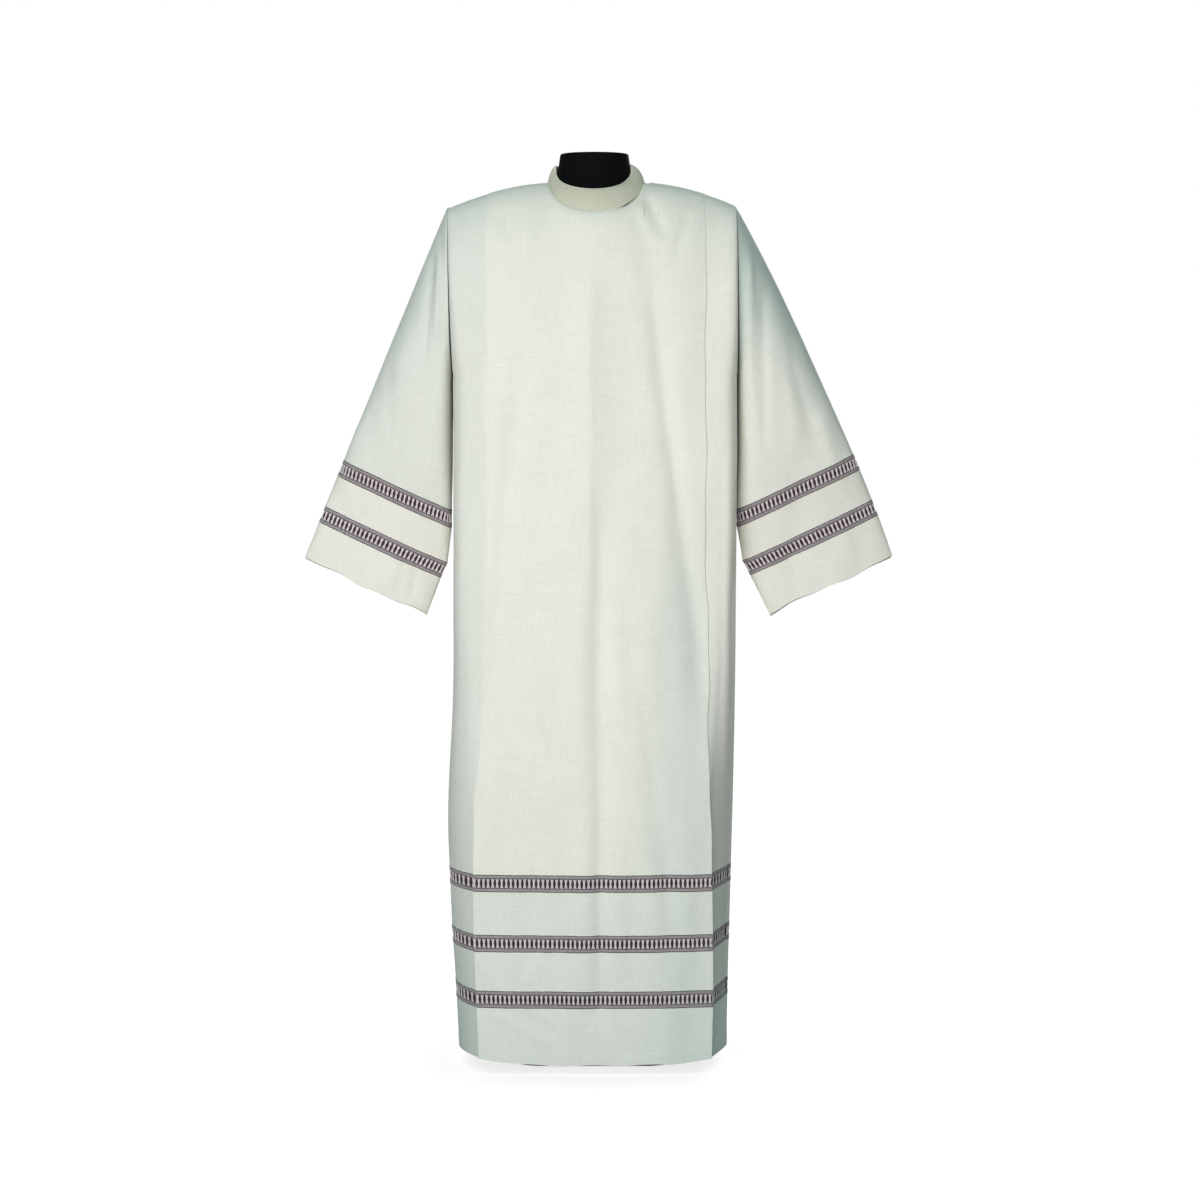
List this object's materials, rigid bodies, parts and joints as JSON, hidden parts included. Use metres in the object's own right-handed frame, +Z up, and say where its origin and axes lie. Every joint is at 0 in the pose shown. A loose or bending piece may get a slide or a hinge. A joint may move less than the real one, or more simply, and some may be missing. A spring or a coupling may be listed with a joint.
{
  "type": "alb robe on a limbless dress form",
  "caption": "Full-length ivory alb with pressed pleats, openwork bands round hem and sleeves, a stand collar and a zip flap on one shoulder, worn by a limbless dress form on a stand.",
  "frame": {"origin": "on the floor under the middle of the object's box; the stand's base plate rests there, 6.9 mm to the wearer's right of the origin", "axes": "+Z up from the base to the neck, the wearer faces -Y, the wearer's left hand is at +X"},
  "size_m": [1.015, 0.2756, 1.5665],
  "materials": {
    "ivory_cloth": "smooth matt plain weave, lightly pressed",
    "openwork": "drawn-thread openwork between braided borders",
    "form_cover": "tight black jersey cover",
    "black_steel": "black powder coat"
  },
  "bodies": {
    "root": {"back_body": "ivory_cloth", "form_base_flange": "black_steel", "form_base_plate": "black_steel", "form_pole": "black_steel", "form_socket": "black_steel", "form_torso": "form_cover", "front_body": "ivory_cloth", "hem_insertion_1": "openwork", "hem_insertion_2": "openwork", "hem_insertion_3": "openwork", "hem_strip": "ivory_cloth", "left_cuff_strip": "ivory_cloth", "left_sleeve": "ivory_cloth", "left_sleeve_insertion_1": "openwork", "left_sleeve_insertion_2": "openwork", "left_sleeve_strip": "ivory_cloth", "right_cuff_strip": "ivory_cloth", "right_sleeve": "ivory_cloth", "right_sleeve_insertion_1": "openwork", "right_sleeve_insertion_2": "openwork", "right_sleeve_strip": "ivory_cloth", "skirt_strip_1": "ivory_cloth", "skirt_strip_2": "ivory_cloth", "stand_collar": "ivory_cloth", "zip_flap": "ivory_cloth"}
  },
  "joints": []
}
